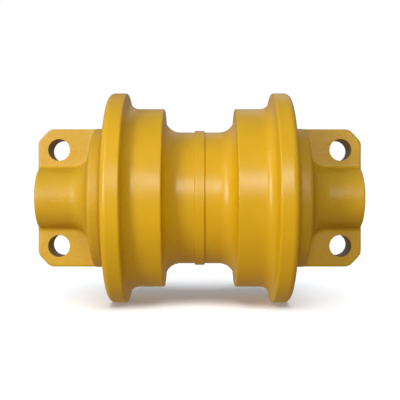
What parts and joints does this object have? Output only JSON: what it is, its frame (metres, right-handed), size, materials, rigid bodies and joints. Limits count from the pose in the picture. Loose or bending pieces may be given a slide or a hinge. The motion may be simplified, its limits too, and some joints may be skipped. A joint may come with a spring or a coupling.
{
  "type": "track roller",
  "caption": "Double-flange crawler track roller: welded yellow shell spinning on a fixed shaft between cast collars with bolting ears.",
  "frame": {"origin": "middle of the shaft, on the roller's axis of rotation, halfway between the two ends", "axes": "+X along the shaft towards the end with the fill plug, +Y out of the collars' mounting pads (up on a machine), +Z across the shaft, so that the row lies as it was pictured"},
  "size_m": [0.326, 0.209, 0.209],
  "materials": {
    "yellow_paint": "satin",
    "machined_steel": "turned",
    "seal_iron": "lapped",
    "bronze": "machined",
    "seal_rubber": "matte"
  },
  "bodies": {
    "axle": {"shaft": "machined_steel", "collar_left": "yellow_paint", "collar_right": "yellow_paint", "fixed_seal_ring_left": "seal_iron", "fixed_seal_ring_right": "seal_iron", "fixed_toric_ring_left": "seal_rubber", "fixed_toric_ring_right": "seal_rubber", "shaft_o_ring_left": "seal_rubber", "shaft_o_ring_right": "seal_rubber", "lock_pin_left": "machined_steel", "lock_pin_right": "machined_steel", "fill_plug": "machined_steel"},
    "roller": {"shell_left": "yellow_paint", "shell_right": "yellow_paint", "weld_bead": "yellow_paint", "bushing_left": "bronze", "bushing_right": "bronze", "rotating_seal_ring_left": "seal_iron", "rotating_seal_ring_right": "seal_iron", "rotating_toric_ring_left": "seal_rubber", "rotating_toric_ring_right": "seal_rubber"}
  },
  "joints": [
    {"name": "roller_spin", "type": "hinge", "parent": "axle", "child": "roller", "pos_m": [0, 0, 0], "axis": [1, 0, 0], "continuous": true}
  ]
}
